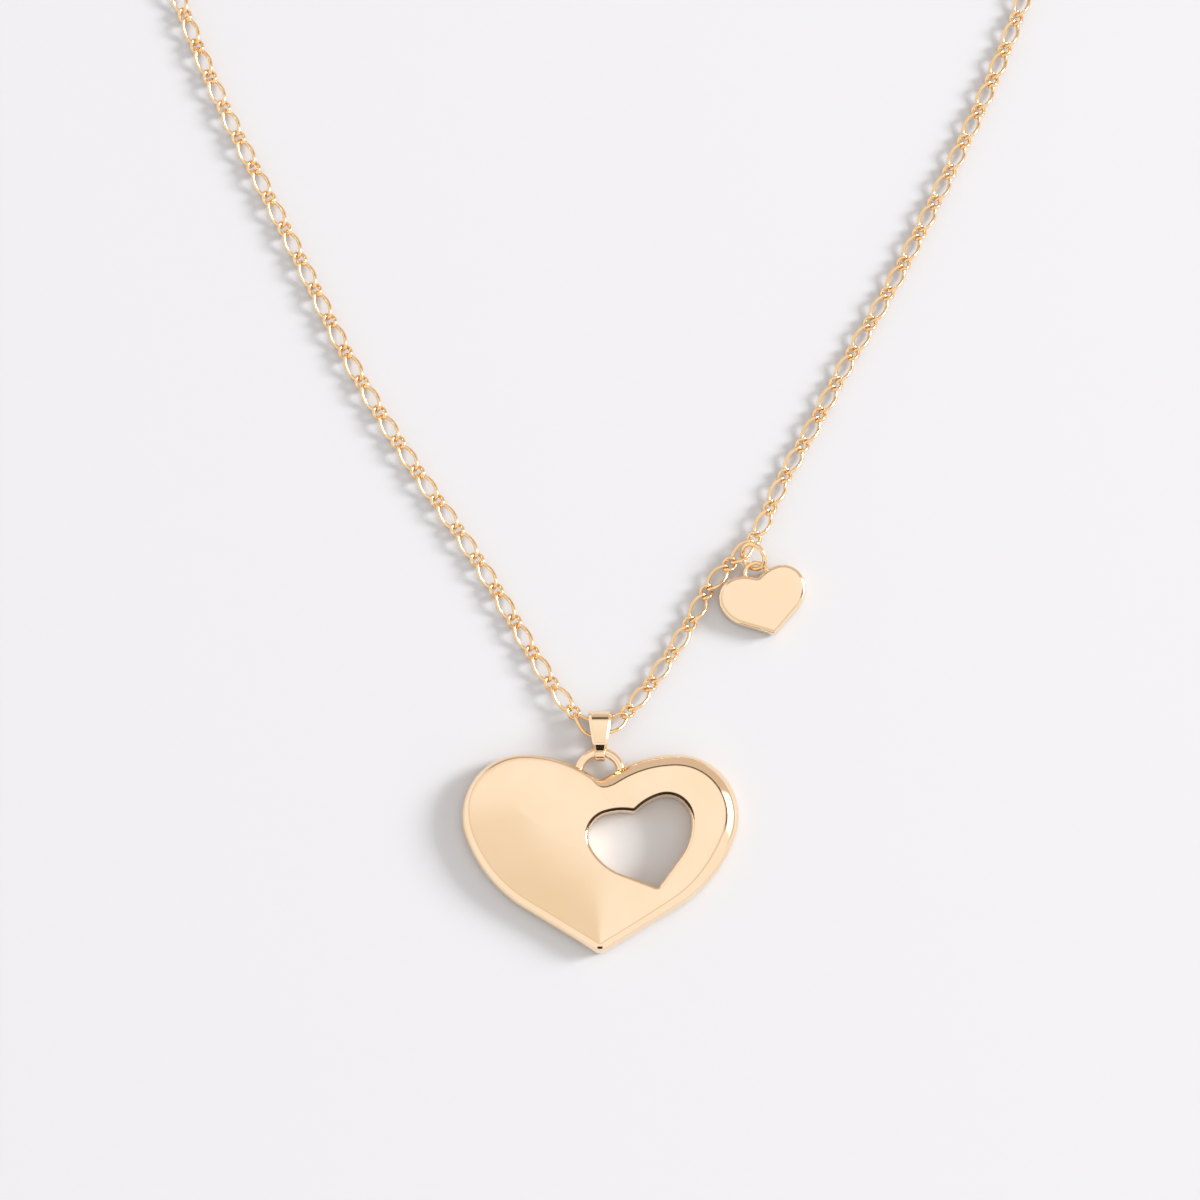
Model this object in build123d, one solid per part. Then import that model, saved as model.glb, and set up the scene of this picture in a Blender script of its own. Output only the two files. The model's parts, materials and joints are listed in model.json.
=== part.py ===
from build123d import *
import os
from math import cos, pi, radians, sin, tan

# Pendant necklace: a puffed heart with a heart-shaped window hangs from a tapered bail on a fine chain of
# long and short twisted links, with a small heart charm on the right arm. It is laid out flat and unfastened.
# Millimetres and degrees. +Z is up from the surface it lies on, +Y runs from the pendant to the clasp.
# The origin is on the pendant's flat back, on its line of symmetry, between the window and the tip.

# ------------------------------------------------------------------ driving dimensions
# chain
WIRE = 0.42
LONG_LENGTH = 3.75
LONG_WIDTH = 1.95
SHORT_LENGTH = 2.05
SHORT_WIDTH = 1.7
LINK_CORNERS = 10
HALF_TWIST = 45.0
TIGHT_GAP = 0.05
SLACK_GAP = 0.12
HINGE_GAP = 0.11
SEGMENTS = 8
PAIRS = 7
CHAIN_REST = 0.52

# heart outlines: lobe centre, lobe radius, top radius, side_from, tip_y, tip_slope, notch_slope, rounds
PENDANT_OUTLINE = ((8.3, 9.55), 6.75, 13.0, 20, -5.53, 31.2, 31.5, (1.2, 0.9))
WINDOW_OUTLINE = ((3.08, 6.6), 2.64, 6.0, 10, -0.15, 36.5, 25, (0.3, 0.5))
CHARM_OUTLINE = ((2.42, 4.73), 2.42, 4.0, 10, -0.15, 33, 28, (0.4, 0.4))

# pendant
PENDANT_HEIGHT = 3.6
DOME_RADIUS = 52.0
DOME_CENTRE_Y = 6.5
SHOULDER = 0.9
BACK_EDGE = 0.2
WINDOW_EDGE = 0.22
WINDOW_TIP = (6.27, 1.76)
WINDOW_TURN = 17.5

# soldered ring and bail
RING_WIRE = 1.0
RING_RADIUS = 2.35
RING_CENTRE_Y = 14.2
RING_Z = 1.06
BAIL_WALL = 0.42
BAIL_TOP_Y = 21.0
BAIL_TOP_WIDTH = 2.7
BAIL_BEND = 0.45
BAIL_BACK_BEND = 0.18
BAIL_FRONT_OUTSIDE = [(21.0, 1.75), (20.5, 2.35), (19.47, 2.85), (17.8, 2.6), (17.05, 2.1), (16.55, 2.04)]
BAIL_FRONT_INSIDE = [(20.58, 1.6), (20.25, 2.0), (19.4, 2.42), (17.95, 2.18), (17.3, 1.75), (16.55, 1.62)]
BAIL_SIDE = [(1.38, 21.2), (1.2, 19.5), (1.05, 18.2), (0.78, 17.0), (0.55, 16.2)]
BAIL_FOOT_END = 15.0
CHAIN_Y_IN_BAIL = 18.6
CHAIN_Z_IN_BAIL = 1.28
ROLL_IN_BAIL = 25.0
BRIDGE_ROLL = -18.0
ROLL_KEPT = (1.0, 0.67, 0.33)
BAIL_PLAY = 0.12

# charm
CHARM_THICKNESS = 1.7
CHARM_EDGE = 0.4
CHARM_TURN = 16.2
CHARM_RING_WIRE = 0.5
CHARM_RING_RADIUS = 1.2
CHARM_RING_Y = 7.0
JUMP_WIRE = 0.5
JUMP_RADIUS = 1.45
JUMP_TILT = 48.0
CHARM_LINK_AT = (16.5, 39.6)
CHARM_REACH = 0.95
CHARM_HANG = 40.0

# end fittings
END_RING_WIRE = 0.6
END_RING_RADIUS = 1.5
END_RING_REST = 1.38
END_RING_GAP = 0.6
CLASP_LENGTH = 11.0
CLASP_THICKNESS = 2.4
EYE_THICKNESS = 0.6
EXTENDER_WIRE = 0.55
EXTENDER_LENGTH = 3.5
EXTENDER_WIDTH = 2.6
EXTENDER_LINKS = 7
EXTENDER_SEGMENTS = 3
EXTENDER_REST = 1.05
DROP_RADIUS = 1.75
DROP_RISE = 10.9
CLASP_REST = 1.23

# routes of the two arms, from the bail to past the end of the chain
LEFT_ROUTE = [
    (-4.2, 22.6, 0.8),
    (-8.6, 29.7, CHAIN_REST),
    (-12.7, 36.7, CHAIN_REST),
    (-18.7, 45.7, CHAIN_REST),
    (-23.7, 53.4, CHAIN_REST),
    (-28.1, 61.1, CHAIN_REST),
    (-32.4, 69.9, CHAIN_REST),
    (-37.6, 80.3, CHAIN_REST),
    (-43.5, 92.4, CHAIN_REST),
    (-51.0, 112.0, CHAIN_REST),
    (-55.5, 126.0, CHAIN_REST),
    (-58.5, 141.0, CHAIN_REST),
    (-58.5, 156.0, CHAIN_REST),
    (-54.0, 169.0, CHAIN_REST),
    (-44.5, 178.5, CHAIN_REST),
    (-31.5, 184.0, CHAIN_REST),
    (-17.0, 185.5, CHAIN_REST),
    (-7.0, 184.0, CHAIN_REST),
    (-2.5, 182.0, END_RING_REST),
    (5.5, 176.0, EXTENDER_REST),
    (11.5, 166.0, EXTENDER_REST),
    (13.5, 154.0, EXTENDER_REST),
    (11.5, 142.0, EXTENDER_REST),
    (6.5, 131.0, EXTENDER_REST),
    (-0.5, 121.0, EXTENDER_REST),
]
RIGHT_ROUTE = [
    (3.9, 22.0, 0.85),
    (7.1, 26.4, 0.6),
    (10.2, 31.5, 0.6),
    (13.0, 36.25, 0.75),
    (16.5, 39.6, 0.85),
    (19.3, 45.1, 0.6),
    (23.3, 52.5, CHAIN_REST),
    (27.3, 60.0, CHAIN_REST),
    (31.4, 67.1, CHAIN_REST),
    (38.2, 80.3, CHAIN_REST),
    (42.9, 90.2, CHAIN_REST),
    (46.8, 99.6, CHAIN_REST),
    (51.0, 112.0, CHAIN_REST),
    (55.5, 126.0, CHAIN_REST),
    (58.5, 141.0, CHAIN_REST),
    (59.5, 156.0, CHAIN_REST),
    (57.0, 170.0, CHAIN_REST),
    (50.0, 182.0, CHAIN_REST),
    (39.0, 191.0, CHAIN_REST),
    (25.5, 196.0, CHAIN_REST),
    (14.0, 197.5, CHAIN_REST),
    (7.5, 197.7, END_RING_REST),
    (-4.0, 196.5, END_RING_REST),
    (-18.0, 193.0, END_RING_REST),
]


# ------------------------------------------------------------------ shared shapes
def arc(centre, radius, start, end):
    """A circular arc in the XY plane between two directions in degrees."""
    x, y = centre

    def at(angle):
        return x + radius * cos(radians(angle)), y + radius * sin(radians(angle))

    return ThreePointArc(at(start), at((start + end) / 2), at(end))


def heart_face(lobe, lobe_radius, top_radius, side_from, tip_y, tip_slope, notch_slope, rounds):
    """A symmetric heart: straight flanks, wide side arcs, round lobes and a shallow notch, tip downwards.

    lobe is a lobe's centre. The side arc leaves the lobe side_from degrees below level and is tangent to the
    flank, which climbs from (0, tip_y) at tip_slope. rounds are the radii at the tip and at the notch."""
    leave = Vector(cos(radians(side_from)), -sin(radians(side_from)))
    flank = Vector(sin(radians(tip_slope)), -cos(radians(tip_slope)))
    from_tip = Vector(*lobe) + leave * lobe_radius - Vector(0, tip_y)
    side_radius = from_tip.dot(flank) / (leave.dot(flank) - 1)
    side = Vector(*lobe) + leave * (lobe_radius - side_radius)
    top = (lobe[0], lobe[1] + lobe_radius - top_radius)
    with BuildSketch() as sketch:
        with BuildLine():
            rise = arc((side.X, side.Y), side_radius, tip_slope - 90, -side_from)
            arc(lobe, lobe_radius, -side_from, 90)
            crown = arc(top, top_radius, 90, 90 + notch_slope)
            shoulder = crown @ 1
            Line((0, tip_y), rise @ 0)
            Line(shoulder, (0, shoulder.Y - shoulder.X * tan(radians(notch_slope))))
            mirror(about=Plane.YZ)
        make_face()
        middle = sketch.vertices().filter_by(lambda v: abs(v.X) < 0.01).sort_by(Axis.Y)
        fillet(middle[0], rounds[0])
        middle = sketch.vertices().filter_by(lambda v: abs(v.X) < 0.01).sort_by(Axis.Y)
        fillet(middle[-1], rounds[1])
    return sketch.sketch


def wire_link(length, width, wire, half_twist, corners):
    """A closed oval link of round wire along X, its two ends turned opposite ways about X."""
    half_length = (length - wire) / 2
    half_width = (width - wire) / 2
    spread = 1 / cos(pi / corners)
    points = []
    for corner in range(corners):
        angle = 2 * pi * (corner + 0.5) / corners
        x = half_length * spread * cos(angle)
        y = half_width * spread * sin(angle)
        turn = radians(half_twist) * x / half_length
        points.append(Vector(x, y * cos(turn), y * sin(turn)))
    radii = []
    for corner, point in enumerate(points):
        back = points[corner - 1] - point
        ahead = points[(corner + 1) % corners] - point
        shorter = min(back.length, ahead.length)
        radii.append(0.45 * shorter / tan(radians(180 - back.get_angle(ahead)) / 2))
    half = corners // 2
    first = (points[-1] + points[0]) / 2
    second = (points[half - 1] + points[half]) / 2
    left = FilletPolyline(first, *points[:half], second, radius=radii[:half])
    right = FilletPolyline(second, *points[half:], first, radius=radii[half:])
    return (round_wire(left, wire) + round_wire(right, wire)).solid()


def round_wire(path, wire):
    """Round wire swept along a path."""
    section = Plane(origin=path @ 0, z_dir=path % 0) * Circle(wire / 2)
    return sweep(section, path=path)


def soldered_ring(radius, wire, centre, height, seat):
    """Most of a ring in a level plane, cut where it meets the body that it is soldered to."""
    ring = round_wire(Pos(0, 0, height) * CenterArc(centre, radius, -10, 200), wire)
    return (ring - seat).solids().sort_by(Axis.Y)[-1]


def save(node, solids):
    """Writes one node's solids as parts/NODE.step."""
    solids = list(solids)
    export_step(solids[0] if len(solids) == 1 else Compound(children=solids), f"parts/{node}.step")


# ------------------------------------------------------------------ pendant
def pendant_heart():
    outline = heart_face(*PENDANT_OUTLINE)
    ball = Pos(0, DOME_CENTRE_Y, PENDANT_HEIGHT - DOME_RADIUS) * Rot(90, 0, 0) * Sphere(DOME_RADIUS)
    body = extrude(outline, PENDANT_HEIGHT + 1) & ball
    dome = body.faces().sort_by(Axis.Z)[-1]
    body = fillet(dome.edges(), SHOULDER)
    back = body.faces().sort_by(Axis.Z)[0]
    body = fillet(back.edges(), BACK_EDGE)
    window = heart_face(*WINDOW_OUTLINE)
    window = Pos(*WINDOW_TIP, -1) * Rot(0, 0, WINDOW_TURN) * extrude(window, PENDANT_HEIGHT + 2)
    body = body - window
    dome = body.faces().filter_by(GeomType.SPHERE).sort_by(SortBy.AREA)[-1]
    return fillet(dome.inner_wires()[0].edges(), WINDOW_EDGE).solid()


def bail():
    """A strap bent round the ring, with a broad tapered front that the chain runs behind."""
    foot_y = RING_CENTRE_Y + RING_RADIUS
    hole = RING_WIRE / 2 + BAIL_PLAY
    back = RING_Z - hole - BAIL_WALL
    lining = back + BAIL_WALL
    inner_top = BAIL_TOP_Y - BAIL_WALL
    outside = Polyline(
        (foot_y, back), (BAIL_TOP_Y - BAIL_BEND, back), (BAIL_TOP_Y, back + BAIL_BEND),
        *BAIL_FRONT_OUTSIDE, close=True,
    )
    inside = Polyline(
        (foot_y, lining), (inner_top - BAIL_BACK_BEND, lining), (inner_top, lining + BAIL_BACK_BEND),
        *BAIL_FRONT_INSIDE, close=True,
    )
    loop = make_face(outside) + Pos(foot_y, RING_Z) * Circle(hole + BAIL_WALL)
    loop -= make_face(inside)
    loop -= Pos(foot_y, RING_Z) * Circle(hole)
    strap = extrude(Plane.YZ * loop, BAIL_TOP_WIDTH, both=True)
    edge = Spline(*BAIL_SIDE)
    foot_half = (edge @ 1).X
    side = edge + Polyline(edge @ 1, (foot_half, BAIL_FOOT_END), (0, BAIL_FOOT_END))
    side += Line((0, (edge @ 0).Y), edge @ 0)
    front = make_face(side + mirror(side, about=Plane.YZ))
    return (strap & extrude(front, PENDANT_HEIGHT)).solid()


# ------------------------------------------------------------------ charm
def charm_heart():
    outline = heart_face(*CHARM_OUTLINE)
    body = extrude(outline, CHARM_THICKNESS)
    body = fillet(body.faces().sort_by(Axis.Z)[-1].edges(), CHARM_EDGE)
    return fillet(body.faces().sort_by(Axis.Z)[0].edges(), BACK_EDGE).solid()


def charm_link_strand(start, end):
    """The middle of a long link's strand that faces the charm."""
    along = (end - start).normalized()
    across = along.cross(Vector(0, 0, 1)).normalized()
    return (start + end) / 2 + across * (LONG_WIDTH - WIRE) / 2


def jump_ring(strand, reach):
    """A round wire ring leaning over two strands, one at strand and one at strand + reach."""
    along = reach.normalized()
    across = Vector(0, 0, 1).cross(along).normalized()
    lean = across * cos(radians(JUMP_TILT)) + Vector(0, 0, 1) * sin(radians(JUMP_TILT))
    height = JUMP_RADIUS * sin(radians(JUMP_TILT)) + JUMP_WIRE / 2 + 0.02
    drop = (height - strand.Z) / sin(radians(JUMP_TILT))
    centre = strand + reach / 2 + lean * drop
    ring = Plane(origin=centre, x_dir=along, z_dir=along.cross(lean)) * Torus(JUMP_RADIUS, JUMP_WIRE / 2)
    return ring.solid()


# ------------------------------------------------------------------ end fittings
def clasp_parts():
    """Lobster clasp pieces, lying level. X runs from the eye's bearing point, at the origin, to the nose."""
    eye_hole = 1.0
    eye_rim = 0.55
    eye_at = (eye_hole, 0)
    pivot = (3.5, 0.95)
    gate_reach = 4.4
    nose = CLASP_LENGTH - eye_rim - 2.75
    outline = make_hull([*(Pos(nose, 0) * Circle(2.75)).edges(), *(Pos(2.9, 0) * Circle(1.75)).edges()])
    wide_end = Pos(nose - 0.1, 0) * Circle(1.7)
    narrow_end = Pos(4.9, -0.25) * Circle(0.75)
    opening = make_hull([*wide_end.edges(), *narrow_end.edges()])
    above = Pos(6.1, 2.0) * Rectangle(4.0, 4.0)
    gate_gap = above & (Pos(*pivot) * Circle(gate_reach + 0.1))
    body = extrude(outline - opening, CLASP_THICKNESS / 2, both=True)
    body = fillet(body.edges().filter_by(lambda e: abs(e.center().Z) > 1), 0.35)
    body -= extrude(gate_gap, CLASP_THICKNESS, both=True)
    eye = Pos(*eye_at) * Circle(eye_hole + eye_rim) + Pos(1.6, 0) * Rectangle(1.6, 1.6)
    body += extrude(eye, EYE_THICKNESS / 2, both=True)
    body -= extrude(Pos(*eye_at) * Circle(eye_hole), 2, both=True)
    slot = Pos(3.5, 1.6) * Rectangle(2.3, 3.4)
    body -= extrude(slot, 0.62, both=True)
    body -= extrude(Pos(*pivot) * Circle(0.36), 2, both=True)
    gate = (outline - opening) & (Pos(0.15, 0) * above) & (Pos(*pivot) * Circle(gate_reach))
    hub = Pos(*pivot) * Circle(0.8)
    tab = Pos(2.95, 2.2) * Rot(0, 0, 25) * RectangleRounded(0.9, 2.0, 0.3)
    arm = make_hull([*(Pos(*pivot) * Circle(0.62)).edges(), *(Pos(4.6, 1.5) * Circle(0.5)).edges()])
    lever = extrude(gate + hub + tab + arm, 0.57, both=True)
    lever -= extrude(Pos(*pivot) * Circle(0.4), 2, both=True)
    lever -= Pos(0, 0, 0.05) * extrude(Pos(*pivot) * Circle(0.85), 1)
    pin = extrude(Pos(*pivot) * Circle(0.35), CLASP_THICKNESS / 2, both=True)
    coil = CenterArc((0, 0), 0.55, 100, 250)
    legs = coil + Line(coil @ 0, coil @ 0 - (coil % 0) * 0.4) + Line(coil @ 1, coil @ 1 + (coil % 1) * 0.4)
    spring = round_wire(Pos(*pivot, 0.34) * Wire(legs.edges()), 0.22)
    return body.solid(), lever.solid(), pin.solid(), spring.solid()


def end_drop():
    """A small plain drop on its own eye. X runs from the eye's bearing point, at the origin, outwards."""
    eye = Pos(0.8, 0, 0) * Torus(1.05, 0.25)
    bead = Pos(1.85 + 0.2 + DROP_RADIUS, 0, 0) * Sphere(DROP_RADIUS)
    return (eye + bead).solid()


# ------------------------------------------------------------------ laying out the chain
def smooth(points):
    """A smooth route as closely spaced points."""
    route = Spline(*points)
    steps = 20 * int(route.length)
    return [route @ (step / steps) for step in range(steps + 1)]


def step_along(route, index, start, distance):
    """The point of the route that lies distance from start in a straight line, and its index."""
    while (route[index + 1] - start).length < distance:
        index += 1
    near, far = route[index], route[index + 1]
    short, long = (near - start).length, (far - start).length
    return near + (far - near) * ((distance - short) / (long - short)), index


def frame(start, end, roll=0):
    """The placement of a piece that spans two points: X along it, Z as near up as it goes, then rolled."""
    along = (end - start).normalized()
    up = (Vector(0, 0, 1) - along * along.Z).normalized()
    return Plane(origin=(start + end) / 2, x_dir=along, z_dir=up).location * Location((0, 0, 0), (roll, 0, 0))


def arm_pieces(side):
    """(kind, body, bearing length, roll) of every piece from the bail outwards, without the last fitting."""
    long_span = LONG_LENGTH - 2 * WIRE
    short_span = SHORT_LENGTH - 2 * WIRE
    roll_in_bail = ROLL_IN_BAIL if side == "left" else -ROLL_IN_BAIL
    rolls = [roll_in_bail * kept for kept in ROLL_KEPT] + [0] * 2 * PAIRS * SEGMENTS
    segments = [f"{side}_chain_{segment + 1}" for segment in range(SEGMENTS)]
    bodies = ["chain_middle"] + [body for body in segments for _ in range(PAIRS)]
    pieces = []
    for pair, body in enumerate(bodies):
        pieces.append(("long", body, long_span, rolls[2 * pair]))
        pieces.append(("short", body, short_span, rolls[2 * pair + 1]))
    pieces.append(("long", f"{side}_chain_{SEGMENTS}", long_span, 0))
    ring_span = 2 * END_RING_RADIUS - END_RING_WIRE
    if side == "right":
        pieces.append(("ring", "clasp_ring", ring_span, -45))
        return pieces
    pieces.append(("ring", "extender_ring", ring_span, -45))
    extender_span = EXTENDER_LENGTH - 2 * EXTENDER_WIRE
    for segment in range(1, EXTENDER_SEGMENTS + 1):
        for link in range(EXTENDER_LINKS):
            turned = (segment - 1) * EXTENDER_LINKS + link
            pieces.append(("extender", f"extender_{segment}", extender_span, 45 if turned % 2 == 0 else -45))
    return pieces


def lay_out(side, points, first):
    """Walks the pieces along a route: (kind, body, start, end, roll) of each, the end and a point beyond."""
    route = smooth([first, *points])
    pieces = arm_pieces(side)
    laid = []
    start, index = Vector(*first), 0
    chain_count = 2 + 2 * PAIRS * SEGMENTS
    for number, (kind, body, span, roll) in enumerate(pieces):
        slack = TIGHT_GAP + (SLACK_GAP - TIGHT_GAP) * min(1, number / chain_count * 1.6)
        if number + 1 < len(pieces) and pieces[number + 1][1] != body:
            slack = max(slack, HINGE_GAP)
        if kind == "ring":
            slack = END_RING_GAP
        end, index = step_along(route, index, start, span - slack)
        laid.append((kind, body, start, end, roll))
        start = end
    towards, _ = step_along(route, index, start, 3.0)
    return laid, start, towards


SUFFIXES = {"long": "_long_links", "short": "_short_links", "extender": "_links", "ring": ""}


def chain_nodes(laid):
    """The solids of every chain node, each a copy of one link placed between its two bearing points."""
    links = {
        "long": wire_link(LONG_LENGTH, LONG_WIDTH, WIRE, HALF_TWIST, LINK_CORNERS),
        "short": wire_link(SHORT_LENGTH, SHORT_WIDTH, WIRE, HALF_TWIST, LINK_CORNERS),
        "extender": wire_link(EXTENDER_LENGTH, EXTENDER_WIDTH, EXTENDER_WIRE, 0, LINK_CORNERS),
        "ring": Torus(END_RING_RADIUS, END_RING_WIRE / 2).solid(),
    }
    nodes = {}
    for kind, body, start, end, roll in laid:
        nodes.setdefault(body + SUFFIXES[kind], []).append(frame(start, end, roll) * links[kind])
    return nodes


# ------------------------------------------------------------------ assembly
half_bridge = (SHORT_LENGTH - 2 * WIRE - TIGHT_GAP) / 2
left_bridge = Vector(-half_bridge, CHAIN_Y_IN_BAIL, CHAIN_Z_IN_BAIL)
right_bridge = Vector(half_bridge, CHAIN_Y_IN_BAIL, CHAIN_Z_IN_BAIL)
left_laid, left_end, left_towards = lay_out("left", LEFT_ROUTE, tuple(left_bridge))
right_laid, right_end, right_towards = lay_out("right", RIGHT_ROUTE, tuple(right_bridge))
laid_pieces = [("short", "chain_middle", left_bridge, right_bridge, BRIDGE_ROLL), *left_laid, *right_laid]

charm_link = min(
    (piece for piece in right_laid if piece[0] == "long"),
    key=lambda piece: ((piece[2] + piece[3]) / 2 - Vector(*CHARM_LINK_AT, 0)).length,
)
strand = charm_link_strand(charm_link[2], charm_link[3])
charm_up = Vector(-sin(radians(CHARM_TURN)), cos(radians(CHARM_TURN)))
charm_top = strand + Vector(sin(radians(CHARM_HANG)), -cos(radians(CHARM_HANG))) * CHARM_REACH
charm_top.Z = CHARM_THICKNESS / 2
charm_foot = charm_top - charm_up * (CHARM_RING_Y + CHARM_RING_RADIUS)
charm_place = Pos(charm_foot.X, charm_foot.Y, 0) * Rot(0, 0, CHARM_TURN)

clasp_along = Vector((right_towards - right_end).X, (right_towards - right_end).Y).normalized()
clasp_along = (clasp_along * CLASP_LENGTH + Vector(0, 0, CLASP_REST - right_end.Z)).normalized()
clasp_up = clasp_along.cross(Vector(0, 0, 1).cross(clasp_along))
clasp_place = Plane(origin=right_end, x_dir=clasp_along, z_dir=clasp_up).location
drop_along = Vector((left_towards - left_end).X, (left_towards - left_end).Y).normalized()
drop_along = drop_along * cos(radians(DROP_RISE)) + Vector(0, 0, sin(radians(DROP_RISE)))
drop_up = drop_along.cross(Vector(0, 0, 1).cross(drop_along))
drop_place = Plane(origin=left_end, x_dir=drop_along, z_dir=drop_up).location * Rot(-45, 0, 0)


if __name__ == "__main__":
    os.makedirs("parts", exist_ok=True)
    heart = pendant_heart()
    save("pendant_heart", [heart])
    save("pendant_ring", [soldered_ring(RING_RADIUS, RING_WIRE, (0, RING_CENTRE_Y), RING_Z, heart)])
    save("bail", [bail()])

    charm = charm_heart()
    charm_ring = soldered_ring(
        CHARM_RING_RADIUS, CHARM_RING_WIRE, (0, CHARM_RING_Y), CHARM_THICKNESS / 2, charm
    )
    save("charm_heart", [charm_place * charm])
    save("charm_ring", [charm_place * charm_ring])
    save("charm_jump_ring", [jump_ring(strand, charm_top - strand)])

    for node, solids in chain_nodes(laid_pieces).items():
        save(node, solids)

    clasp_names = ("clasp_body", "clasp_lever", "clasp_pin", "clasp_spring")
    for node, solid in zip(clasp_names, clasp_parts()):
        save(node, [clasp_place * solid])
    save("extender_drop", [drop_place * end_drop()])
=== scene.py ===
import json
from math import cos, pi, radians, sin, tan

import bmesh
import bpy
import numpy as np
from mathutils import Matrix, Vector


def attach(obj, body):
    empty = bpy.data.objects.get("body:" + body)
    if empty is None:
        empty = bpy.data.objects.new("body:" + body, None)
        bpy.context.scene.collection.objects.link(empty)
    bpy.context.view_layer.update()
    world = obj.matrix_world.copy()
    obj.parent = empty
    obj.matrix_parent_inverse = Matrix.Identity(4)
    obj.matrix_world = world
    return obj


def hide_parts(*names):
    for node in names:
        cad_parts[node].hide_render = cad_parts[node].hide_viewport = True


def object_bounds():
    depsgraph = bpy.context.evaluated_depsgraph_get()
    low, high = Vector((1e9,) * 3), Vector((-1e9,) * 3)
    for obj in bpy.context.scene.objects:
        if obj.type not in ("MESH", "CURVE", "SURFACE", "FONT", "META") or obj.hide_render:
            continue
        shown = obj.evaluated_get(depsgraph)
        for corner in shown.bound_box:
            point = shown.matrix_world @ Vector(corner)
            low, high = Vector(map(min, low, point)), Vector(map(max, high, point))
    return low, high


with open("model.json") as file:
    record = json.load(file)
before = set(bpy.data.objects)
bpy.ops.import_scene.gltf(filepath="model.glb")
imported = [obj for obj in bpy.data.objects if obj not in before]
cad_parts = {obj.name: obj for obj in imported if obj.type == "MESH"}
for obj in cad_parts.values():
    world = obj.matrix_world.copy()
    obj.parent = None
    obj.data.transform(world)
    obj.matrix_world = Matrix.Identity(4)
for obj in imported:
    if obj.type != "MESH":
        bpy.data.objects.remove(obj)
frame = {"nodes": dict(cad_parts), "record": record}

cad_box = [list(corner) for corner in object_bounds()]
MM = 0.001

# ------------------------------------------------------------------ sizes that part.py also holds, in mm
WIRE = 0.42
LONG = (3.75, 1.95, 45.0)
SHORT = (2.05, 1.7, 45.0)
EXTENDER_WIRE = 0.55
EXTENDER = (3.5, 2.6, 0.0)
LINK_INSET = 0.012       # keeps the round links just inside the CAD's
RING_WIRE = 1.0
RING_RADIUS = 2.35
RING_CENTRE = (0.0, 14.2, 1.06)
PENDANT_OUTLINE = ((8.3, 9.55), 6.75, 13.0, 20, -5.53, 31.2, 31.5, (1.2, 0.9))
WINDOW_OUTLINE = ((3.08, 6.6), 2.64, 6.0, 10, -0.15, 36.5, 25, (0.3, 0.5))
WINDOW_TIP = (6.27, 1.76)
WINDOW_TURN = 17.5
CHARM_OUTLINE = ((2.42, 4.73), 2.42, 4.0, 10, -0.15, 33, 28, (0.4, 0.4))
CHARM_TURN = 16.2
CHARM_RING = (1.2, 0.5, 7.0)
PLAIN_RINGS = {"charm_jump_ring": (1.45, 0.5), "clasp_ring": (1.5, 0.6), "extender_ring": (1.5, 0.6)}


# ------------------------------------------------------------------ mesh helpers
def make_piece(name, body, slot, material, verts_mm, faces, *replaced):
    """A smooth-shaded mesh piece that rides on a body and stands for CAD nodes."""
    mesh = bpy.data.meshes.new(name)
    mesh.from_pydata([tuple(v) for v in np.asarray(verts_mm) * MM], [], faces)
    mesh.materials.append(material)
    work = bmesh.new()
    work.from_mesh(mesh)
    bmesh.ops.recalc_face_normals(work, faces=work.faces)
    work.to_mesh(mesh)
    work.free()
    mesh.polygons.foreach_set("use_smooth", [True] * len(mesh.polygons))
    piece = bpy.data.objects.new(name, mesh)
    bpy.context.scene.collection.objects.link(piece)
    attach(piece, body)
    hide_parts(*replaced)
    return piece


def gather(parts):
    """One vertex array and face list from several (vertices, faces)."""
    verts, faces, base = [], [], 0
    for part_verts, part_faces in parts:
        verts.append(np.asarray(part_verts))
        faces += [[index + base for index in face] for face in part_faces]
        base += len(part_verts)
    return np.vstack(verts), faces


def loft(rows, wrap_rows=False, caps=()):
    """Quads between rows of equally many points, each row a closed ring. caps fills first or last rows."""
    count = len(rows[0])
    faces = []
    for r in range(len(rows) if wrap_rows else len(rows) - 1):
        low, high = r * count, (r + 1) % len(rows) * count
        for c in range(count):
            after = (c + 1) % count
            faces.append([low + c, low + after, high + after, high + c])
    if "first" in caps:
        faces.append(list(range(count))[::-1])
    if "last" in caps:
        faces.append([(len(rows) - 1) * count + c for c in range(count)])
    return np.vstack(rows), faces


def tube(path, radius, sides=14, closed=True):
    """Round wire along a path of points, with its ring of points carried along without twisting."""
    path = np.asarray(path, float)
    if closed:
        ahead = np.roll(path, -1, 0) - np.roll(path, 1, 0)
    else:
        ahead = np.gradient(path, axis=0)
    ahead /= np.linalg.norm(ahead, axis=1)[:, None]
    start = np.cross(ahead[0], (0.12, 0.25, 1.0))
    normals = [start / np.linalg.norm(start)]
    for direction in ahead[1:]:
        carried = normals[-1] - direction * normals[-1].dot(direction)
        normals.append(carried / np.linalg.norm(carried))
    normals = np.array(normals)
    turns = 2 * pi * np.arange(sides) / sides
    spare = 0.0
    if closed:
        home = normals[-1] - ahead[0] * normals[-1].dot(ahead[0])
        spare = np.arctan2(np.cross(normals[0], home).dot(ahead[0]), normals[0].dot(home))
    rows = []
    for step, (point, direction, normal) in enumerate(zip(path, ahead, normals)):
        binormal = np.cross(direction, normal)
        angles = turns - spare * step / len(path)
        rows.append(point + radius * (np.cos(angles)[:, None] * normal + np.sin(angles)[:, None] * binormal))
    return loft(rows, wrap_rows=closed, caps=() if closed else ("first", "last"))


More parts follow.
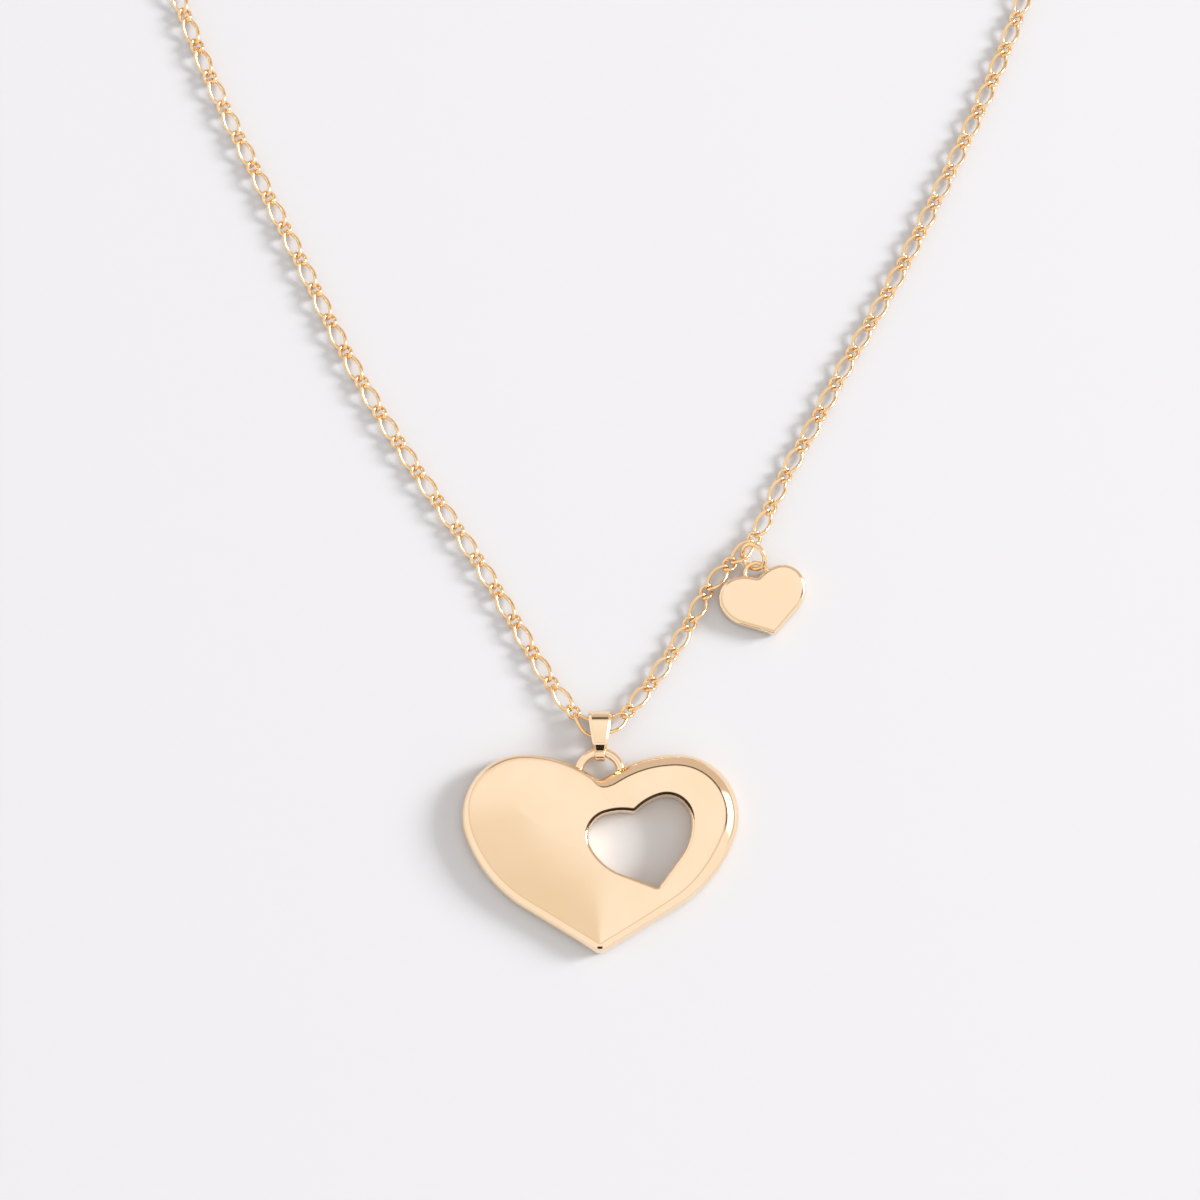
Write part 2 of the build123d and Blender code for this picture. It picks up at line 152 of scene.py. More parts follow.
def islands(node):
    """A CAD node's separate solids: (area-weighted centre, axes from longest to shortest, local points)."""
    mesh = frame["nodes"][node].data
    points = np.empty(3 * len(mesh.vertices), np.float32)
    mesh.vertices.foreach_get("co", points)
    points = points.reshape(-1, 3).astype(float) / MM
    mesh.calc_loop_triangles()
    corners = np.empty(3 * len(mesh.loop_triangles), np.int32)
    mesh.loop_triangles.foreach_get("vertices", corners)
    triangles = points[corners.reshape(-1, 3)]
    middles = triangles.mean(1)
    edges = triangles[:, 1:] - triangles[:, :1]
    areas = np.linalg.norm(np.cross(edges[:, 0], edges[:, 1]), axis=1)
    _, merged = np.unique(points.round(4), axis=0, return_inverse=True)
    linked = merged.reshape(-1)[corners].reshape(-1, 3)
    labels = np.arange(linked.max() + 1)
    while True:
        lower = labels.copy()
        np.minimum.at(lower, linked.ravel(), np.repeat(labels[linked].min(1), 3))
        lower = lower[lower]
        if np.array_equal(lower, labels):
            break
        labels = lower
    owner = labels[linked[:, 0]]
    found = []
    for solid in np.unique(owner):
        mine = owner == solid
        weight = areas[mine]
        centre = (middles[mine] * weight[:, None]).sum(0) / weight.sum()
        local = middles[mine] - centre
        _, vectors = np.linalg.eigh((local * weight[:, None]).T @ local)
        axes = vectors[:, ::-1].T
        axes[2] = np.cross(axes[0], axes[1])
        found.append((centre, axes, local @ axes.T, weight))
    return found


def lie_of(points, areas):
    """The direction in degrees, from 0 to 180, in which points spread furthest about the X axis."""
    flat = points[:, 1:]
    _, vectors = np.linalg.eigh((flat * areas[:, None]).T @ flat)
    return np.degrees(np.arctan2(vectors[1, 1], vectors[0, 1])) % 180


def oval(length, width, twist, wire, steps=56):
    """The centre line of an oval link along X whose two ends are turned opposite ways."""
    angles = 2 * pi * np.arange(steps) / steps
    x = ((length - wire) / 2 - LINK_INSET) * np.cos(angles)
    y = ((width - wire) / 2 - LINK_INSET) * np.sin(angles)
    turn = np.radians(twist) * np.cos(angles)
    return np.column_stack([x, y * np.cos(turn), y * np.sin(turn)])


def links_of(node, shape, wire):
    """Round smooth links standing exactly where the CAD node's links are."""
    length, width, twist = shape
    made = []
    for centre, axes, local, areas in islands(node):
        if twist:
            far = local[:, 0] > 0.25 * length
            near = local[:, 0] < -0.25 * length
            at_far = lie_of(local[far], areas[far])
            at_near = lie_of(local[near], areas[near])
            roll = at_near + (at_far - at_near) % 180 / 2
        else:
            roll = lie_of(local, areas)
        line = oval(length, width, twist, wire)
        c, s = cos(radians(roll)), sin(radians(roll))
        line = line @ np.array([[1, 0, 0], [0, c, s], [0, -s, c]])
        made.append(tube(line @ axes + centre, wire / 2 - LINK_INSET))
    return made


def circle(radius, steps=72):
    angles = 2 * pi * np.arange(steps) / steps
    return np.column_stack([radius * np.cos(angles), radius * np.sin(angles), np.zeros(steps)])


def ring_of(node, radius, wire):
    """A smooth round ring standing where the CAD node's ring is."""
    centre, axes, _, _ = islands(node)[0]
    return tube(circle(radius) @ axes + centre, wire / 2, sides=24)


# ------------------------------------------------------------------ heart outlines
def heart_outline(lobe, lobe_radius, top_radius, side_from, tip_y, tip_slope, notch_slope, rounds, count):
    """The heart of part.py as evenly spaced points, anticlockwise from the tip."""
    leave = np.array([cos(radians(side_from)), -sin(radians(side_from))])
    flank = np.array([sin(radians(tip_slope)), -cos(radians(tip_slope))])
    from_tip = np.array(lobe) + leave * lobe_radius - (0, tip_y)
    side_radius = from_tip.dot(flank) / (leave.dot(flank) - 1)
    side = np.array(lobe) + leave * (lobe_radius - side_radius)
    top = np.array([lobe[0], lobe[1] + lobe_radius - top_radius])

    def arc(centre, radius, start, end, steps=240):
        angles = np.radians(np.linspace(start, end, steps))
        return np.array(centre) + radius * np.column_stack([np.cos(angles), np.sin(angles)])

    crown = arc(top, top_radius, 90, 90 + notch_slope)
    shoulder = crown[-1]
    notch_y = shoulder[1] - shoulder[0] * tan(radians(notch_slope))
    tip_centre = (0, tip_y + rounds[0] / cos(radians(tip_slope)))
    notch_centre = (0, notch_y + rounds[1] / cos(radians(notch_slope)))
    half = np.vstack([
        arc(tip_centre, rounds[0], -90, tip_slope - 90),
        arc(side, side_radius, tip_slope - 90, -side_from),
        arc(lobe, lobe_radius, -side_from, 90)[1:],
        crown[1:],
        arc(notch_centre, rounds[1], notch_slope - 90, -90),
    ])
    whole = np.vstack([half, (half * (-1, 1))[::-1][1:-1]])
    return evenly(whole, count)


def evenly(points, count):
    """A closed outline as evenly spaced points."""
    loop = np.vstack([points, points[:1]])
    along = np.concatenate([[0], np.cumsum(np.linalg.norm(np.diff(loop, axis=0), axis=1))])
    wanted = np.linspace(0, along[-1], count, endpoint=False)
    return np.column_stack([np.interp(wanted, along, loop[:, k]) for k in (0, 1)])


def inward(points, distance):
    """An outline moved in by a distance, or out where that is negative."""
    ahead = np.roll(points, -1, 0) - np.roll(points, 1, 0)
    ahead /= np.linalg.norm(ahead, axis=1)[:, None]
    return points + distance * np.column_stack([-ahead[:, 1], ahead[:, 0]])


def at_angles(points, centre, angles):
    """The points of a star-shaped outline that lie at given directions from its centre."""
    rel = points - centre
    theirs = np.unwrap(np.arctan2(rel[:, 1], rel[:, 0]))
    radii = np.linalg.norm(rel, axis=1)
    theirs = np.concatenate([theirs - 2 * pi, theirs, theirs + 2 * pi])
    radii = np.tile(radii, 3)
    found = np.interp(angles, theirs, radii)
    return centre + found[:, None] * np.column_stack([np.cos(angles), np.sin(angles)])


def level(points, height):
    heights = np.full(len(points), height) if np.isscalar(height) else height
    return np.column_stack([points, heights])


# ------------------------------------------------------------------ pendant heart
BACK_EDGE = 0.25
EQUATOR = 1.1
SHOULDER_LEFT = 0.95
SHOULDER_RIGHT = 1.55
SHOULDER_CROWN = 0.5
SHOULDER_TOP = 2.0
DOME_TOP = 3.5
DOME_REACH = 8.4
RIDGE = 0.1
WINDOW_EDGE = 0.42
EDGE_STEPS = 14
PAINTED_REFLECTION_FROM = 2            # the first row of the window's rounded edge that gets the painted dark reflection
PAINTED_REFLECTION_DEPTH = 0.62        # the share of its rows that the painted dark reflection reaches
WALL_FOOT = 0.1          # chamfer where the window's wall meets the back
WINDOW_CENTRE = np.array([4.9, 6.4])
HEART_COLUMNS = 760


def distance_to(outline, points):
    """How far each point lies from an open outline, in steps that keep memory small."""
    best = np.empty(len(points))
    for start in range(0, len(points), 4000):
        block = points[start:start + 4000]
        nearest = np.linalg.norm(block[:, None] - outline[None], axis=2).argmin(1)
        distance = np.full(len(block), np.inf)
        for shift in (-1, 0):
            first = outline[np.clip(nearest + shift, 0, len(outline) - 2)]
            span = outline[np.clip(nearest + shift, 0, len(outline) - 2) + 1] - first
            along = np.clip(((block - first) * span).sum(1) / (span * span).sum(1), 0, 1)
            distance = np.minimum(distance, np.linalg.norm(block - first - along[:, None] * span, axis=1))
        best[start:start + 4000] = distance
    return best


def ease(value, start, end):
    fraction = np.clip((value - start) / (end - start), 0, 1)
    return fraction * fraction * (3 - 2 * fraction)


def dome_height(points, left, right, shoulder_in):
    """Height of the puffed front. The two sides' slopes meet in a soft ridge above the tip."""
    to_left = distance_to(left, points)
    to_right = distance_to(right, points)
    nearest = np.minimum(to_left, to_right)
    blend = RIDGE * nearest + 1e-6
    inside = nearest - blend * np.log1p(np.exp(-np.abs(to_left - to_right) / blend))
    shoulder = np.clip(inside / shoulder_in, 0, 1)
    rise = np.clip(inside / DOME_REACH, 0, 1)
    rolled = EQUATOR + (SHOULDER_TOP - EQUATOR) * np.sqrt(1 - (1 - shoulder) ** 2)
    return rolled + (DOME_TOP - SHOULDER_TOP) * (1 - (1 - rise) ** 2)


def pendant_heart():
    """The heart's vertices and faces, and which faces of the window's edge carry a painted dark reflection.
    """
    count = HEART_COLUMNS
    outline = heart_outline(*PENDANT_OUTLINE, count)
    fine = heart_outline(*PENDANT_OUTLINE, 1200)
    right, left = fine[:601], np.vstack([fine[600:], fine[:1]])
    turn = radians(WINDOW_TURN)
    window = heart_outline(*WINDOW_OUTLINE, 2400)
    window = window @ np.array([[cos(turn), sin(turn)], [-sin(turn), cos(turn)]]) + WINDOW_TIP

    across, up = outline.T
    to_right = ease(across, -0.8, 0.8)
    left_in = SHOULDER_LEFT - (SHOULDER_LEFT - SHOULDER_CROWN) * ease(up, 8, 14)
    right_in = SHOULDER_LEFT + (SHOULDER_RIGHT - SHOULDER_LEFT) * ease(up, -4, 6)
    shoulder_in = left_in * (1 - to_right) + right_in * to_right
    inner = inward(outline, shoulder_in[:, None])
    rel = inner - WINDOW_CENTRE
    angles = np.unwrap(np.arctan2(rel[:, 1], rel[:, 0]))

    def window_ring(outwards):
        return at_angles(inward(window, -outwards), WINDOW_CENTRE, angles)

    rows = []
    for step in np.linspace(0, 1, 9)[:-1]:
        rows.append(level(window_ring(WALL_FOOT) * (1 - step) + inward(outline, BACK_EDGE) * step, 0.0))
    for angle in np.linspace(0, 90, 7):
        in_by = BACK_EDGE * (1 - sin(radians(angle)))
        rows.append(level(inward(outline, in_by), BACK_EDGE * (1 - cos(radians(angle)))))
    rows.append(level(outline, (BACK_EDGE + EQUATOR) / 2))
    for angle in np.linspace(0, 90, 19)[:-1]:
        ring = inward(outline, shoulder_in[:, None] * (1 - cos(radians(angle))))
        rows.append(level(ring, dome_height(ring, left, right, shoulder_in)))
    window_top = window_ring(WINDOW_EDGE)
    for step in np.linspace(0, 1, 71):
        eased = step * step * (3 - 2 * step) * 0.5 + step * 0.5
        ring = inner * (1 - eased) + window_top * eased
        rows.append(level(ring, dome_height(ring, left, right, shoulder_in)))
    edge_height = rows[-1][:, 2]
    first_edge_row = len(rows) - 1
    for angle in np.linspace(0, 90, EDGE_STEPS + 1)[1:]:
        ring = window_ring(WINDOW_EDGE * (1 - sin(radians(angle))))
        rows.append(level(ring, edge_height - WINDOW_EDGE * (1 - cos(radians(angle)))))
    for step in (0.33, 0.66, 1.0):
        ring = window_ring(0.0)
        rows.append(level(ring, (edge_height - WINDOW_EDGE) * (1 - step) + WALL_FOOT * step))
    verts, faces = loft(rows, wrap_rows=True)

    # painted dark reflection: rows of the window's rounded edge that face -Y are marked for a near-black
    # material; the more an edge faces -Y, the more rows are marked
    ahead = np.roll(window_top, -1, 0) - np.roll(window_top, 1, 0)
    faces_down = np.clip(-ahead[:, 0] / np.linalg.norm(ahead, axis=1), 0, 1)
    painted_dark_faces = set()
    for column in range(count):
        if faces_down[column] <= 0.05:
            continue
        depth = PAINTED_REFLECTION_DEPTH * EDGE_STEPS * min(1.0, faces_down[column] * 1.6 + 0.1)
        for row in range(PAINTED_REFLECTION_FROM, PAINTED_REFLECTION_FROM + int(depth)):
            painted_dark_faces.add((first_edge_row + row) * count + column)
    return verts, faces, painted_dark_faces


def pendant_ring():
    angles = np.radians(np.linspace(-14, 194, 90))
    path = np.column_stack([np.cos(angles), np.sin(angles), np.zeros(90)]) * RING_RADIUS + RING_CENTRE
    return tube(path, RING_WIRE / 2, sides=32, closed=False)


# ------------------------------------------------------------------ bail
BAIL_WALL = 0.42
BAIL_BACK_Z = 0.24
BAIL_BACK_FROM = 19.8
BAIL_BACK_TO = 16.9
BAIL_FOOT_HALF = 0.52
BAIL_FOOT_GAP = 0.12
# stations round the strap: (y, z, half width, how far the outer face is bevelled), from the foot up the front
BAIL_FRONT = [
    (16.35, 1.84, 0.52, 0.3),
    (16.54, 1.82, 0.56, 0.5),
    (16.66, 1.86, 0.62, 0.7),
    (16.74, 1.92, 0.66, 0.8),
    (17.24, 2.38, 0.80, 0.9),
    (17.34, 2.46, 0.82, 1.0),
    (17.50, 2.52, 0.86, 1.0),
    (19.05, 2.60, 1.12, 1.0),
    (19.20, 2.58, 1.14, 1.0),
    (20.20, 2.30, 1.24, 1.0),
    (20.34, 2.22, 1.26, 1.0),
    (20.70, 1.86, 1.29, 0.6),
    (20.79, 1.62, 1.30, 0.2),
    (20.79, 0.55, 1.30, 0.0),
    (20.68, 0.32, 1.30, 0.0),
    (20.45, 0.24, 1.28, 0.0),
]


def bail():
    """A bent strap: a chamfered section carried round the ring, up the tapered front and down the back."""
    foot_y, foot_z = RING_CENTRE[1] + RING_RADIUS, RING_CENTRE[2]
    reach = RING_WIRE / 2 + BAIL_FOOT_GAP + BAIL_WALL / 2
    stations = list(BAIL_FRONT)
    for y in np.linspace(BAIL_BACK_FROM, BAIL_BACK_TO, 8):
        stations.append((y, BAIL_BACK_Z, 0.55 + 0.73 * (y - BAIL_BACK_TO) / 3.2, 0.0))
    for angle in np.radians(np.linspace(-90, -262, 22)):
        stations.append((foot_y + reach * cos(angle), foot_z + reach * sin(angle), BAIL_FOOT_HALF, 0.1))
    path = np.array([(y, z) for y, z, _, _ in stations])
    ahead = np.roll(path, -1, 0) - np.roll(path, 1, 0)
    ahead /= np.linalg.norm(ahead, axis=1)[:, None]
    rows = []
    for (y, z, half, bevel), (dy, dz) in zip(stations, ahead):
        out = np.array([-dz, dy])
        section = []
        for x, lift in bail_section(half, bevel):
            at = np.array([y, z]) + out * lift
            section.append((x, at[0], at[1]))
        rows.append(np.array(section))
    return loft(rows, wrap_rows=True)


def bail_section(half, bevel):
    """The strap's section: flat inside, with its outer face falling away in a bevel along each side."""
    top, under = BAIL_WALL / 2, -BAIL_WALL / 2
    drop = 0.03 + 0.17 * bevel
    wide = 0.05 + 0.25 * bevel
    return [
        (-half, under + 0.04), (-half, top - drop), (-half + 0.03, top - drop + 0.02),
        (-half + wide - 0.03, top - 0.02), (-half + wide, top), (-half + wide + 0.05, top),
        (half - wide - 0.05, top), (half - wide, top), (half - wide + 0.03, top - 0.02),
        (half - 0.03, top - drop + 0.02), (half, top - drop), (half, under + 0.04),
        (half - 0.04, under), (-half + 0.04, under),
    ]


# ------------------------------------------------------------------ charm
CHARM_EDGE = 0.3
CHARM_BEVEL = 0.18
CHARM_THICKNESS = 1.7
CHARM_MIDDLE = np.array([0.0, 4.6])
CHARM_BACK_EDGE = 0.2
CHARM_CROWN = 0.05
CHARM_SHOULDER_DROP = 0.12
ROLL_STOPS = 66
BEVEL_SLOPE = 0.41


def charm_place(points):
    """Moves the charm's own points, tip at the origin, to where the CAD charm is."""
    turn = radians(CHARM_TURN)
    spin = np.array([[cos(turn), sin(turn), 0], [-sin(turn), cos(turn), 0], [0, 0, 1]])
    cad = np.array([v.co[:] for v in frame["nodes"]["charm_heart"].data.vertices]) / MM
    own = cad @ spin.T
    outline = heart_outline(*CHARM_OUTLINE, 600)
    across = (own[:, 0].min() + own[:, 0].max()) / 2
    foot = np.array([across, own[:, 1].min() - outline[:, 1].min(), own[:, 2].min()])
    return (points + foot) @ spin


def charm_heart():
    outline = heart_outline(*CHARM_OUTLINE, 480)
    rows = []
    for scale in (0.02, 0.35, 0.7, 0.92):
        back = CHARM_MIDDLE + (inward(outline, CHARM_BACK_EDGE) - CHARM_MIDDLE) * scale
        rows.append(level(back, 0.0))
    for angle in np.linspace(0, 90, 6):
        in_by = CHARM_BACK_EDGE * (1 - sin(radians(angle)))
        rows.append(level(inward(outline, in_by), CHARM_BACK_EDGE * (1 - cos(radians(angle)))))
    top = CHARM_THICKNESS - CHARM_SHOULDER_DROP
    for angle in np.linspace(0, ROLL_STOPS, 12):
        ring = inward(outline, CHARM_EDGE * (1 - cos(radians(angle))))
        rows.append(level(ring, top - CHARM_EDGE * (1 - sin(radians(angle)))))
    beneath = top - CHARM_EDGE * (1 - sin(radians(ROLL_STOPS)))
    rolled_in = CHARM_EDGE * (1 - cos(radians(ROLL_STOPS)))
    for step in (0.08, 0.3, 0.6, 0.92, 1.0):
        along = CHARM_BEVEL * step
        rows.append(level(inward(outline, rolled_in + along), beneath + BEVEL_SLOPE * along))
    edge_height = beneath + BEVEL_SLOPE * CHARM_BEVEL
    edge = inward(outline, rolled_in + CHARM_BEVEL + 0.03)
    for scale in (1.0, 0.97, 0.92, 0.84, 0.72, 0.56, 0.38, 0.2, 0.02):
        crown = edge_height + 0.01 + CHARM_CROWN * (1 - scale ** 3)
        rows.append(level(CHARM_MIDDLE + (edge - CHARM_MIDDLE) * scale, crown))
    verts, faces = loft(rows, caps=("first", "last"))
    return charm_place(verts), faces


def charm_ring():
    radius, wire, ring_y = CHARM_RING
    angles = np.radians(np.linspace(-16, 196, 70))
    path = np.column_stack([np.cos(angles), np.sin(angles), np.zeros(70)]) * radius
    verts, faces = tube(path + (0, ring_y, CHARM_THICKNESS / 2), wire / 2, sides=24, closed=False)
    return charm_place(verts), faces


# ------------------------------------------------------------------ materials
def gold(name, colour, warm, roughness, scratch=0.35):
    """Polished plated metal: slow drifts of tone, fine rub marks in the polish, a barely uneven surface."""
    material = bpy.data.materials.new(name)
    material.use_nodes = True
    tree = material.node_tree
    shader = tree.nodes["Principled BSDF"]
    shader.inputs["Metallic"].default_value = 1.0
    place = tree.nodes.new("ShaderNodeTexCoord")

    drift = tree.nodes.new("ShaderNodeTexNoise")
    drift.inputs["Scale"].default_value = 160.0
    drift.inputs["Detail"].default_value = 3.0
    tree.links.new(place.outputs["Object"], drift.inputs["Vector"])
    tone = tree.nodes.new("ShaderNodeValToRGB")
    tone.color_ramp.elements[0].position = 0.35
    tone.color_ramp.elements[0].color = (*warm, 1)
    tone.color_ramp.elements[1].position = 0.7
    tone.color_ramp.elements[1].color = (*colour, 1)
    tree.links.new(drift.outputs["Fac"], tone.inputs["Fac"])
    tree.links.new(tone.outputs["Color"], shader.inputs["Base Color"])

    stretch = tree.nodes.new("ShaderNodeMapping")
    stretch.inputs["Scale"].default_value = (900.0, 5200.0, 2600.0)
    stretch.inputs["Rotation"].default_value = (0.0, 0.0, radians(24))
    tree.links.new(place.outputs["Object"], stretch.inputs["Vector"])
    rub = tree.nodes.new("ShaderNodeTexNoise")
    rub.inputs["Scale"].default_value = 1.0
    rub.inputs["Detail"].default_value = 5.0
    tree.links.new(stretch.outputs["Vector"], rub.inputs["Vector"])
    polish = tree.nodes.new("ShaderNodeMapRange")
    polish.inputs["To Min"].default_value = roughness * (1 - scratch)
    polish.inputs["To Max"].default_value = roughness * (1 + scratch)
    tree.links.new(rub.outputs["Fac"], polish.inputs["Value"])
    tree.links.new(polish.outputs["Result"], shader.inputs["Roughness"])

    uneven = tree.nodes.new("ShaderNodeTexNoise")
    uneven.inputs["Scale"].default_value = 420.0
    uneven.inputs["Detail"].default_value = 2.0
    tree.links.new(place.outputs["Object"], uneven.inputs["Vector"])
    bump = tree.nodes.new("ShaderNodeBump")
    bump.inputs["Strength"].default_value = 0.02
    bump.inputs["Distance"].default_value = 0.00005
    tree.links.new(uneven.outputs["Fac"], bump.inputs["Height"])
    tree.links.new(bump.outputs["Normal"], shader.inputs["Normal"])
    return material


def paper(name):
    """Matt white paper."""
    material = bpy.data.materials.new(name)
    material.use_nodes = True
    tree = material.node_tree
    shader = tree.nodes["Principled BSDF"]
    shader.inputs["Base Color"].default_value = (0.655, 0.672, 0.712, 1)
    shader.inputs["Roughness"].default_value = 0.9
    shader.inputs["Specular IOR Level"].default_value = 0.2
    return material


PEACH_GOLD = (1.0, 0.80, 0.58)
WARM_GOLD = (0.99, 0.77, 0.53)
heart_gold = gold("heart_gold", PEACH_GOLD, WARM_GOLD, 0.09, 0.25)
# painted reflection: a near-black gold standing in for the dark reflection along the window's upper edge, not
# the metal's own colour
painted_reflection_gold = gold("painted_reflection_gold", (0.09, 0.05, 0.025), (0.05, 0.028, 0.014), 0.2)
bail_gold = gold("bail_gold", PEACH_GOLD, WARM_GOLD, 0.1)
chain_gold = gold("chain_gold", (0.97, 0.73, 0.45), (0.93, 0.65, 0.35), 0.12)
charm_gold = gold("charm_gold", PEACH_GOLD, WARM_GOLD, 0.11, 0.25)
ring_gold = gold("ring_gold", (0.97, 0.74, 0.46), (0.94, 0.67, 0.37), 0.12)
clasp_gold = gold("clasp_gold", PEACH_GOLD, WARM_GOLD, 0.14)
extender_gold = gold("extender_gold", (0.97, 0.73, 0.45), (0.93, 0.65, 0.35), 0.12)
spring_steel = gold("spring_steel", (0.62, 0.62, 0.63), (0.5, 0.5, 0.52), 0.25)

# ------------------------------------------------------------------ pieces
heart_verts, heart_faces, painted_reflection_faces = pendant_heart()
heart = make_piece(
    "pendant_heart_shell", "pendant", "pendant_gold", heart_gold, heart_verts, heart_faces, "pendant_heart"
)
# painted dark reflection: the marked faces of the window's upper edge take the near-black gold as their
# second material
heart.data.materials.append(painted_reflection_gold)
for face in painted_reflection_faces:
    heart.data.polygons[face].material_index = 1
make_piece("pendant_ring_wire", "pendant", "pendant_gold", bail_gold, *pendant_ring(), "pendant_ring")
make_piece("bail_strap", "bail", "bail_gold", bail_gold, *bail(), "bail")
make_piece("charm_heart_shell", "charm", "charm_gold", charm_gold, *charm_heart(), "charm_heart")
make_piece("charm_ring_wire", "charm", "charm_gold", ring_gold, *charm_ring(), "charm_ring")

for body, nodes in frame["record"]["behaviour"]["bodies"].items():
    long_links = [node for node in nodes if node.endswith("_long_links")]
    short_links = [node for node in nodes if node.endswith("_short_links")]
    if long_links:
        wires = links_of(long_links[0], LONG, WIRE) + links_of(short_links[0], SHORT, WIRE)
        make_piece(body + "_wires", body, "chain_gold", chain_gold, *gather(wires), *long_links, *short_links)
    elif body.startswith("extender_") and nodes[0].endswith("_links"):
        wires = links_of(nodes[0], EXTENDER, EXTENDER_WIRE)
        make_piece(body + "_wires", body, "extender_gold", extender_gold, *gather(wires), nodes[0])

for node, (radius, wire) in PLAIN_RINGS.items():
    make_piece(node + "_wire", node, "ring_gold", ring_gold, *ring_of(node, radius, wire), node)

CARRIED = {
    "clasp_body": clasp_gold,
    "clasp_lever": clasp_gold,
    "clasp_pin": clasp_gold,
    "clasp_spring": spring_steel,
    "extender_drop": extender_gold,
}
for node, material in CARRIED.items():
    carried = frame["nodes"][node]
    carried.data.materials.clear()
    carried.data.materials.append(material)

# ------------------------------------------------------------------ stage, lights and camera
FLOOR_REACH = 2.0
floor_z = cad_box[0][2]
corners = [(-1, -1), (1, -1), (1, 1), (-1, 1)]
floor_mesh = bpy.data.meshes.new("floor")
floor_mesh.from_pydata([(FLOOR_REACH * x, FLOOR_REACH * y, floor_z) for x, y in corners], [], [(0, 1, 2, 3)])
floor_mesh.materials.append(paper("white_paper"))
floor = bpy.data.objects.new("floor", floor_mesh)
bpy.context.scene.collection.objects.link(floor)


def softbox(name, at_mm, aim_mm, size_mm, watts, colour=(1, 1, 1)):
    light = bpy.data.lights.new(name, "AREA")
    light.shape = "RECTANGLE"
    light.size, light.size_y = size_mm[0] * MM, size_mm[1] * MM
    light.energy = watts
    light.color = colour
    lamp = bpy.data.objects.new(name, light)
    lamp.location = Vector(at_mm) * MM
    lamp.rotation_euler = (Vector(aim_mm) - Vector(at_mm)).to_track_quat("-Z", "Y").to_euler()
    bpy.context.scene.collection.objects.link(lamp)


AIM = (0, 34, 0)
softbox("key", (2700, 690, 1290), AIM, (860, 860), 92.0, (1.0, 0.985, 0.97))


# the studio's directions: tangents of the angle from the flat faces' mirror direction, azimuths in radians,
# and heights as the direction's own z
SEAM_FROM = 0.90
SEAM_TO = 1.08
SEAM_AZIMUTH = (-0.55, 1.72)
LAMP_AZIMUTH = (1.18, 1.78)
LAMP_HEIGHT = (0.25, 0.62)
FRONT_HALF_WIDTH = 0.31
FRONT_HEIGHT = (0.08, 0.4)
MIRROR_LEAN = 0.19
TENT_WHITE = (1.03, 1.0, 0.985)
TENT_WARM = (0.87, 0.80, 0.71)
TENT_LOW = (1.0, 0.97, 0.94)
RIM_SHADE = (0.80, 0.68, 0.56)
TAN_WALL = (0.70, 0.60, 0.53)
SEAM_DARK = (0.03, 0.025, 0.02)
LAMP_WHITE = (2.6, 2.55, 2.5)
FRONT_DARK = (0.02, 0.017, 0.015)


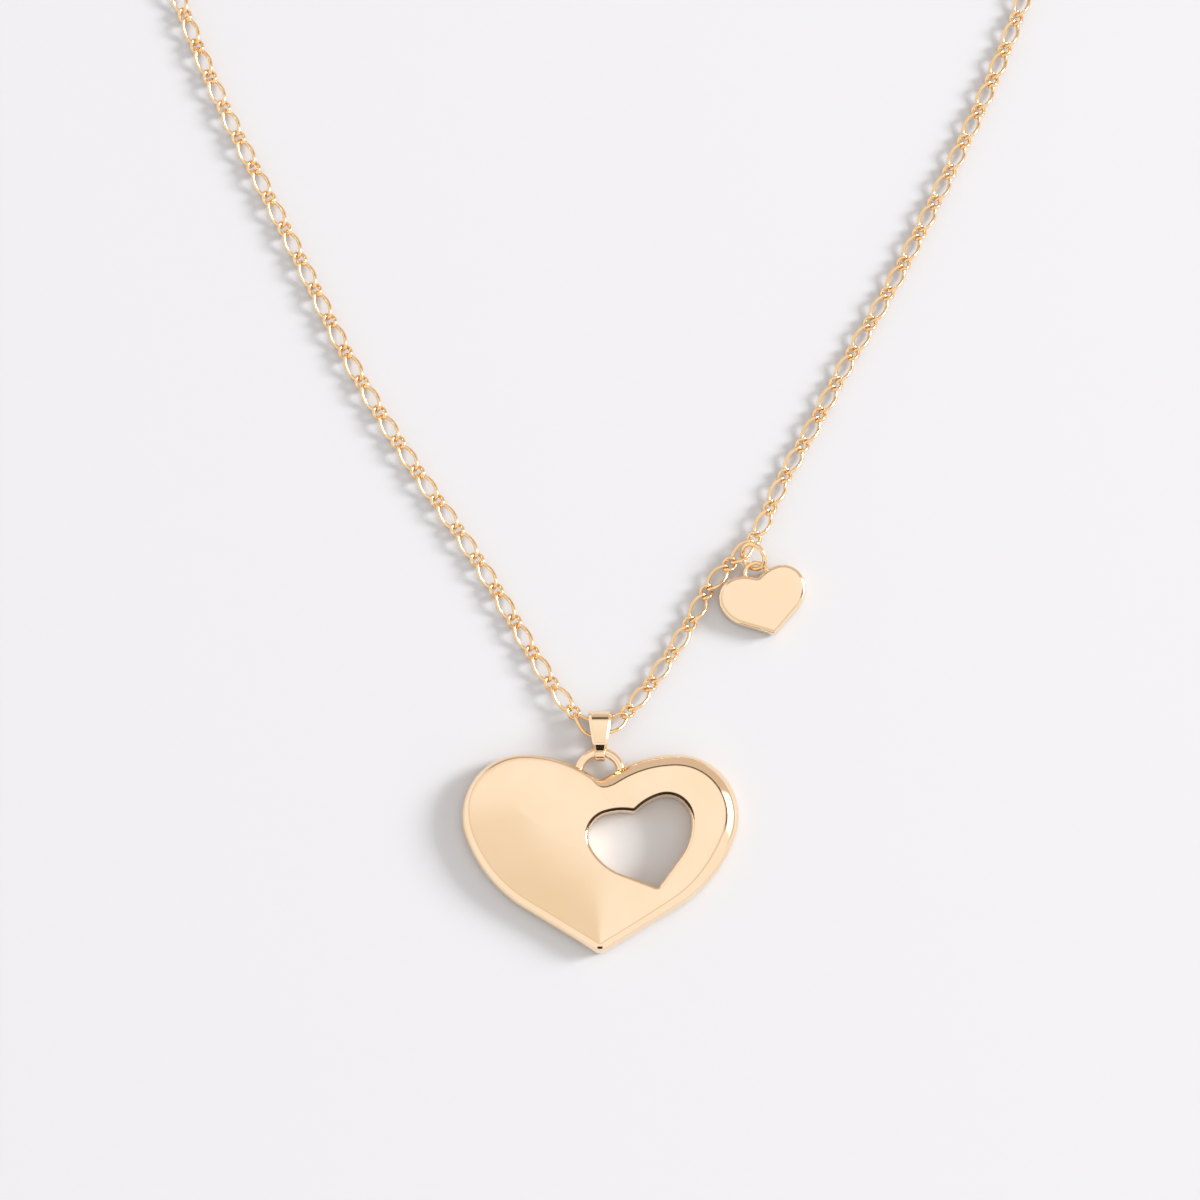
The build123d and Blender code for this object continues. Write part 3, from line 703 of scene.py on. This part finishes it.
def studio_world():
    """A bright studio by direction: a white tent with a thin shade round its rim, a dark seam with a tan wall
    beyond it and a lamp in that, and a small dark patch in front."""
    world = bpy.data.worlds.new("studio")
    world.use_nodes = True
    bpy.context.scene.world = world
    tree = world.node_tree
    place = tree.nodes.new("ShaderNodeTexCoord")
    split = tree.nodes.new("ShaderNodeSeparateXYZ")
    tree.links.new(place.outputs["Generated"], split.inputs[0])

    def calc(kind, a, b=0.0):
        node = tree.nodes.new("ShaderNodeMath")
        node.operation = kind
        for slot, value in zip(node.inputs, (a, b)):
            if isinstance(value, (int, float)):
                slot.default_value = value
            else:
                tree.links.new(value, slot)
        return node.outputs[0]

    def step(value, start, end):
        node = tree.nodes.new("ShaderNodeMapRange")
        node.interpolation_type = "SMOOTHSTEP"
        node.inputs["From Min"].default_value = start
        node.inputs["From Max"].default_value = end
        tree.links.new(value, node.inputs["Value"])
        return node.outputs["Result"]

    def mix(colour_a, colour_b, factor):
        node = tree.nodes.new("ShaderNodeMix")
        node.data_type = "RGBA"
        for name, value in (("A", colour_a), ("B", colour_b)):
            slot = next(s for s in node.inputs if s.name == name and s.type == "RGBA")
            if isinstance(value, tuple):
                slot.default_value = (*value, 1)
            else:
                tree.links.new(value, slot)
        tree.links.new(factor, node.inputs[0])
        return next(s for s in node.outputs if s.type == "RGBA")

    def band(value, start, end, soft):
        before_end = calc("SUBTRACT", 1.0, step(value, end, end + soft))
        return calc("MULTIPLY", step(value, start - soft, start), before_end)

    x, y, z = split.outputs
    above = calc("MAXIMUM", z, 0.02)
    u = calc("DIVIDE", x, above)
    v = calc("DIVIDE", calc("SUBTRACT", y, calc("MULTIPLY", above, MIRROR_LEAN)), above)
    away = calc("SQRT", calc("ADD", calc("MULTIPLY", u, u), calc("MULTIPLY", v, v)))
    azimuth = calc("ARCTAN2", u, v)
    behind = calc("ARCTAN2", x, calc("MULTIPLY", y, -1.0))
    sector = band(azimuth, *SEAM_AZIMUTH, 0.25)
    seam = calc("MULTIPLY", band(away, SEAM_FROM, SEAM_TO, 0.04), sector)
    outer = calc("MULTIPLY", step(away, SEAM_TO - 0.02, SEAM_TO + 0.03), sector)
    lamp = calc("MULTIPLY", band(azimuth, *LAMP_AZIMUTH, 0.12), band(z, *LAMP_HEIGHT, 0.06))
    ahead = band(behind, -FRONT_HALF_WIDTH, FRONT_HALF_WIDTH, 0.1)
    front = calc("MULTIPLY", ahead, band(z, *FRONT_HEIGHT, 0.07))
    rim_line = band(away, 0.84, 0.96, 0.07)

    warm_side = calc("MULTIPLY", step(v, 0.45, -0.55), step(u, 0.2, -0.26))
    tent = mix(TENT_WHITE, TENT_WARM, warm_side)
    tent = mix(tent, TENT_LOW, step(away, 0.9, 1.2))
    tent = mix(tent, RIM_SHADE, rim_line)
    shade = mix(tent, TAN_WALL, outer)
    shade = mix(shade, SEAM_DARK, seam)
    shade = mix(shade, LAMP_WHITE, lamp)
    shade = mix(shade, FRONT_DARK, front)
    background = tree.nodes["Background"]
    tree.links.new(shade, background.inputs["Color"])
    background.inputs["Strength"].default_value = 1.0


studio_world()

camera_data = bpy.data.cameras.new("camera")
camera = bpy.data.objects.new("camera", camera_data)
bpy.context.scene.collection.objects.link(camera)
VIEW_CENTRE = Vector((0.0, 33.6, 0.0)) * MM
DISTANCE = 420 * MM
TILT = radians(10.5)
FIELD = 132.0 * MM
SENSOR = 36.0
camera.location = VIEW_CENTRE + DISTANCE * Vector((0, -sin(TILT), cos(TILT)))
camera.rotation_euler = (VIEW_CENTRE - camera.location).to_track_quat("-Z", "Y").to_euler()
camera_data.sensor_width = SENSOR
camera_data.lens = SENSOR * DISTANCE / FIELD
camera_data.clip_start = 0.01
bpy.context.scene.camera = camera
bpy.context.scene.view_settings.view_transform = "Standard"

bpy.context.view_layer.update()
